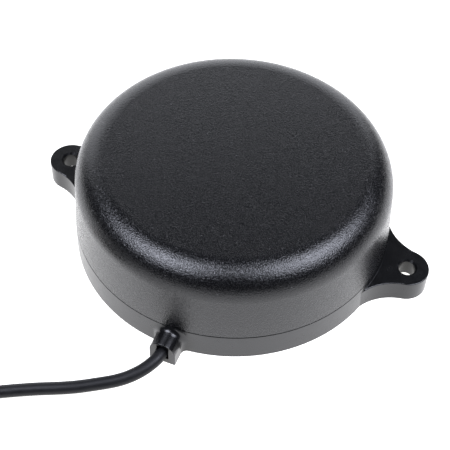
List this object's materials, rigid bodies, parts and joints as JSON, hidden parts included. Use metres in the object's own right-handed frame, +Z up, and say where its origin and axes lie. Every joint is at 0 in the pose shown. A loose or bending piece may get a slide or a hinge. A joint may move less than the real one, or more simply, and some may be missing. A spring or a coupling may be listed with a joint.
{
  "type": "tactile transducer",
  "caption": "Sealed round puck transducer with two screw ears, a side cable boss and a thin two-core lead; a magnet on two springs shakes the surface that it is screwed to",
  "frame": {"origin": "centre of the round base's underside, on the surface that the puck is screwed to", "axes": "+X through one fixing ear, +Z up through the top of the cup, -Y towards the cable boss"},
  "size_m": [0.1795, 0.1648, 0.036],
  "materials": {
    "cup_plastic": "fine spark-eroded texture, black",
    "base_plastic": "smooth moulded satin, black",
    "cable_jacket": "smooth flexible PVC, black",
    "core_red": "PVC insulation, red",
    "core_black": "PVC insulation, black",
    "tinned_strands": "twisted and tinned copper strands",
    "tie": "ribbed plastic-coated tie, black",
    "seal_rubber": "foam rubber, black",
    "stop_rubber": "moulded soft rubber, dark grey",
    "zinc_screw": "zinc plated steel",
    "pole_steel": "turned and zinc plated low-carbon steel",
    "spring_steel": "rolled spring steel",
    "ferrite": "ground and raw ferrite, dark grey",
    "former": "heat-resistant film, amber",
    "winding": "enamelled copper wire",
    "board": "paper laminate, tan",
    "tag": "tinned brass with solder"
  },
  "bodies": {
    "casing": {"base_plate": "base_plastic", "top_cup": "cup_plastic", "seal_ring": "seal_rubber", "casing_screws": "zinc_screw", "lower_spring": "spring_steel", "upper_spring": "spring_steel", "lower_post_screws": "zinc_screw", "upper_post_screws": "zinc_screw", "lower_stops": "stop_rubber", "upper_stops": "stop_rubber", "coil_former": "former", "voice_coil": "winding", "lead_out_wires": "winding", "terminal_board": "board", "solder_tags": "tag", "terminal_screw": "zinc_screw", "inner_cable": "cable_jacket", "inner_core_red": "core_red", "inner_core_black": "core_black", "cable_clamp": "base_plastic", "clamp_screws": "zinc_screw", "cable_lead": "cable_jacket", "cable_coil": "cable_jacket", "cable_tail": "cable_jacket", "cable_tie": "tie", "core_red_end": "core_red", "core_black_end": "core_black", "core_tips": "tinned_strands"},
    "magnet_mass": {"front_plate": "pole_steel", "ring_magnet": "ferrite", "yoke": "pole_steel", "lower_hub_screws": "zinc_screw", "upper_hub_screws": "zinc_screw"}
  },
  "joints": [
    {"name": "suspension", "type": "slide", "parent": "casing", "child": "magnet_mass", "axis": [0, 0, 1], "range_m": [-0.002, 0.002], "stiffness_N_per_m": 24000, "deforming": ["lower_spring", "upper_spring"]}
  ]
}
